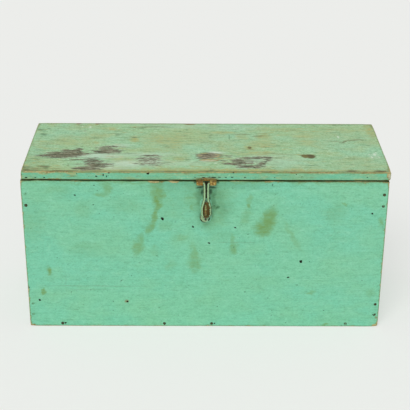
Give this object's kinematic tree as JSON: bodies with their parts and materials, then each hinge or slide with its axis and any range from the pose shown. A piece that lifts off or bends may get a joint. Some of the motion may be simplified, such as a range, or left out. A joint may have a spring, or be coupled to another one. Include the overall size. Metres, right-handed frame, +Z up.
{
  "type": "carpenters tool chest",
  "caption": "Nailed pine tool chest, painted green, with a flat hinged lid, wire hasp and staple, end bail handles and a sliding till.",
  "frame": {"origin": "middle of the underside of the case", "axes": "+X along the chest to the right seen from the front, +Y from the front to the back, +Z up; the front with the hasp faces -Y"},
  "size_m": [0.7274, 0.2808, 0.339],
  "materials": {
    "painted_pine": "old eggshell paint, worn",
    "bare_pine": "bare, aged",
    "nail_iron": "rusty",
    "hinge_steel": "painted over and rusty",
    "screw_steel": "rusty",
    "hasp_iron": "chipped paint over rust",
    "handle_iron": "rusty"
  },
  "bodies": {
    "carcass": {"front_board": "painted_pine", "back_board": "painted_pine", "end_left": "painted_pine", "end_right": "painted_pine", "bottom_board": "bare_pine", "front_nails": "nail_iron", "back_nails": "nail_iron", "end_nails": "nail_iron", "hinge_left_fixed_leaf": "hinge_steel", "hinge_right_fixed_leaf": "hinge_steel", "hinge_left_pin": "hinge_steel", "hinge_right_pin": "hinge_steel", "hinge_left_fixed_screws": "screw_steel", "hinge_right_fixed_screws": "screw_steel", "staple_plate": "hasp_iron", "staple": "hasp_iron", "staple_screws": "screw_steel", "runner_left": "bare_pine", "runner_right": "bare_pine", "runner_nails": "nail_iron", "handle_left_plate": "handle_iron", "handle_right_plate": "handle_iron", "handle_left_screws": "screw_steel", "handle_right_screws": "screw_steel"},
    "lid": {"lid_board": "painted_pine", "lid_batten_left": "bare_pine", "lid_batten_right": "bare_pine", "batten_screws": "screw_steel", "hinge_left_moving_leaf": "hinge_steel", "hinge_right_moving_leaf": "hinge_steel", "hinge_left_moving_screws": "screw_steel", "hinge_right_moving_screws": "screw_steel", "hasp_plate": "hasp_iron", "hasp_screws": "screw_steel"},
    "hasp": {"hasp_loop": "hasp_iron"},
    "till": {"till_front": "bare_pine", "till_back": "bare_pine", "till_end_left": "bare_pine", "till_end_right": "bare_pine", "till_bottom": "bare_pine", "till_divider_left": "bare_pine", "till_divider_right": "bare_pine", "till_nails": "nail_iron"},
    "left_handle": {"handle_left_bail": "handle_iron"},
    "right_handle": {"handle_right_bail": "handle_iron"}
  },
  "joints": [
    {"name": "lid_hinge", "type": "hinge", "parent": "carcass", "child": "lid", "pos_m": [0, 0.13176, 0.3212], "axis": [-1, 0, 0], "range_deg": [0, 200]},
    {"name": "hasp_swing", "type": "hinge", "parent": "lid", "child": "hasp", "pos_m": [0.0025, -0.13356, 0.31914], "axis": [-1, 0, 0], "range_deg": [0, 185]},
    {"name": "till_slide", "type": "slide", "parent": "carcass", "child": "till", "axis": [0, -1, 0], "range_m": [0, 0.118]},
    {"name": "handle_left_swing", "type": "hinge", "parent": "carcass", "child": "left_handle", "pos_m": [-0.3575, 0, 0.216], "axis": [0, 1, 0], "range_deg": [0, 180]},
    {"name": "handle_right_swing", "type": "hinge", "parent": "carcass", "child": "right_handle", "pos_m": [0.3575, 0, 0.216], "axis": [0, -1, 0], "range_deg": [0, 180]}
  ]
}
